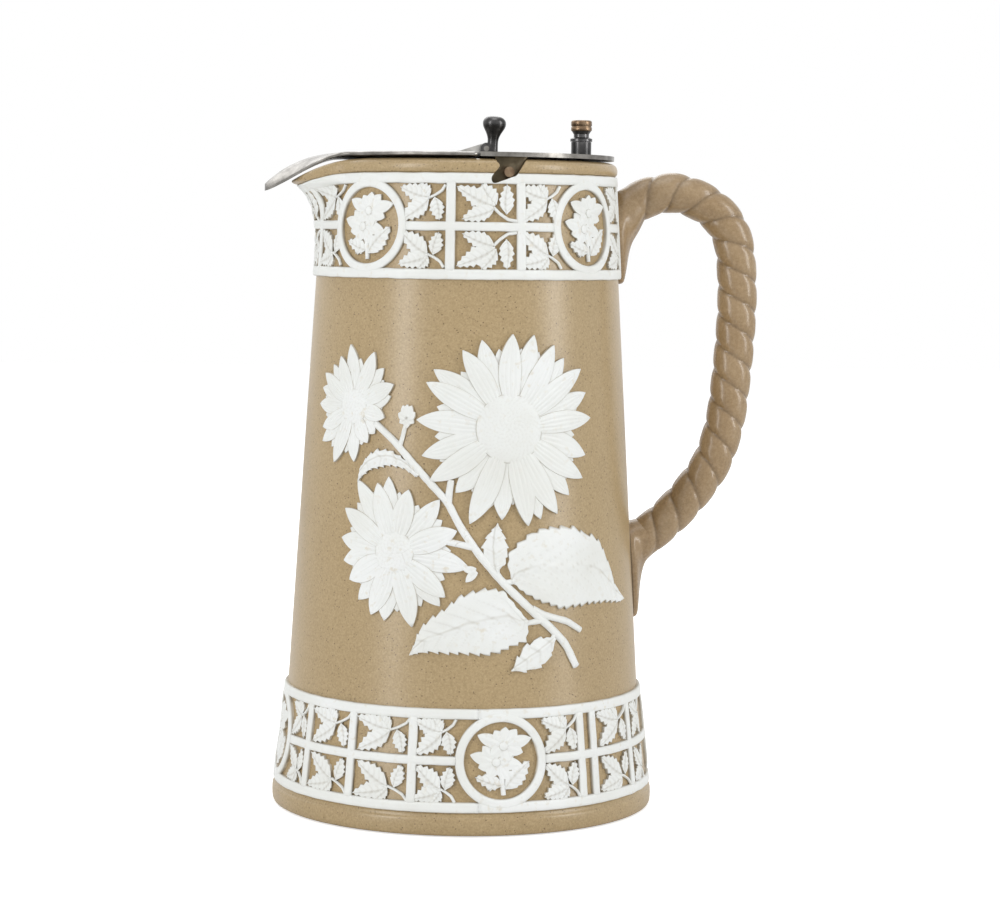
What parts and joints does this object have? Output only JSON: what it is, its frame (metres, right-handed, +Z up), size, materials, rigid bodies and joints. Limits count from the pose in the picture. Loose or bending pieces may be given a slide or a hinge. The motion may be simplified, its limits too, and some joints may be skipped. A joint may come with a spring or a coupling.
{
  "type": "lidded jug",
  "caption": "Salt-glazed stoneware jug with a twisted rope handle, applied white sunflower relief, trellis bands and a hinged pewter cover with a thumb knob",
  "frame": {"origin": "on the table under the middle of the pot", "axes": "+Z up, spout towards -X, handle towards +X; the XZ plane is the middle plane of the plain jug"},
  "size_m": [0.1624, 0.1252, 0.2251],
  "materials": {
    "stoneware": "dry-bodied tan stoneware with fine dark specks and a soft satin sheen",
    "handle_clay": "browner stoneware, satin",
    "white_relief": "white applied clay, satin",
    "pewter": "pewter, worn dark with bright highlights",
    "dark_pewter": "tarnished pewter",
    "brass": "coppery brass, worn"
  },
  "bodies": {
    "root": {"jug_body": "stoneware", "rope_handle": "handle_clay", "upper_handle_root": "handle_clay", "lower_handle_root": "handle_clay", "large_sunflower": "white_relief", "side_sunflower": "white_relief", "low_sunflower": "white_relief", "sunflower_bud": "white_relief", "broad_leaf": "white_relief", "long_leaf": "white_relief", "curled_leaf": "white_relief", "low_leaf": "white_relief", "upright_leaf": "white_relief", "sprig_stems": "white_relief", "upper_band": "white_relief", "upper_medallion_rings": "white_relief", "upper_medallion_flowers": "white_relief", "upper_band_leaves": "white_relief", "lower_band": "white_relief", "lower_medallion_rings": "white_relief", "lower_medallion_flowers": "white_relief", "lower_band_leaves": "white_relief", "rear_plate": "pewter", "hinge_knuckles": "pewter", "hinge_pin": "pewter", "rim_ears": "dark_pewter", "rim_studs": "dark_pewter", "catch_collar": "pewter"},
    "lid": {"front_flap": "pewter", "flap_tang": "pewter", "thumb_knob": "pewter"},
    "catch": {"catch_neck": "pewter", "brass_knob": "brass", "catch_spindle": "pewter", "catch_toe": "pewter", "spindle_nut": "pewter"}
  },
  "joints": [
    {"name": "lid_hinge", "type": "hinge", "parent": "root", "child": "lid", "pos_m": [0.0052, 0, 0.21425], "axis": [0, 1, 0], "range_deg": [0, 55]},
    {"name": "catch_turn", "type": "hinge", "parent": "root", "child": "catch", "pos_m": [0.0369, 0, 0.2145], "axis": [0, 0, 1], "range_deg": [0, 90]}
  ]
}
